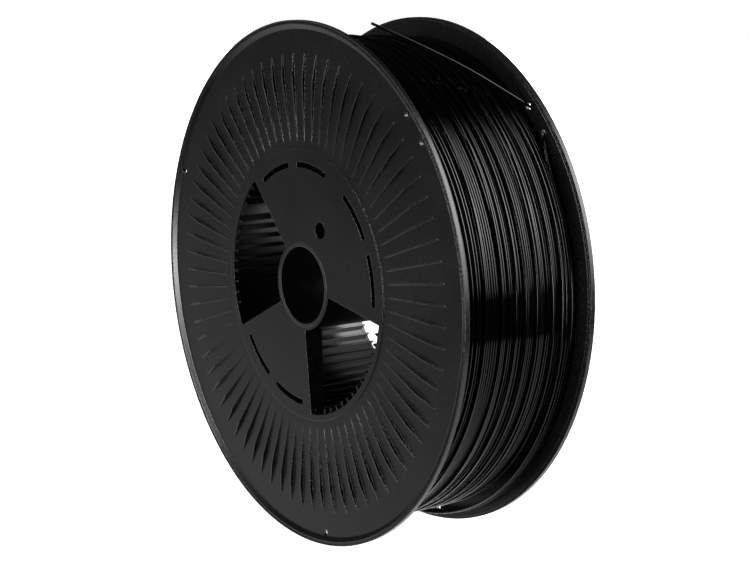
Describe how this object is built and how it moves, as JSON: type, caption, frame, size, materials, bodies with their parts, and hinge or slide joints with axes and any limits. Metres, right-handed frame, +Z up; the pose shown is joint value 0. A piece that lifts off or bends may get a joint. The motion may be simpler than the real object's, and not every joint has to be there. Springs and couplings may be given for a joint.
{
  "type": "filament spool",
  "caption": "Large black plastic spool with finned end discs, windowed hubs and a central bore, wound full of round filament with its loose end tucked through the rim.",
  "frame": {"origin": "middle of the spool, on its axis and half way between the two rims", "axes": "+Y along the bore from the front flange to the rear flange, +Z up as the spool stands on its rims, +X to the right of someone facing the front flange"},
  "size_m": [0.35, 0.1067, 0.3501],
  "materials": {
    "disc_plastic": "fine moulded satin",
    "core_plastic": "moulded satin",
    "filament": "smooth extruded gloss"
  },
  "bodies": {
    "root": {"front_flange": "disc_plastic", "rear_flange": "disc_plastic", "bore_tube": "core_plastic", "winding_drum": "core_plastic", "filament_winding": "filament", "filament_tail": "filament"}
  },
  "joints": []
}
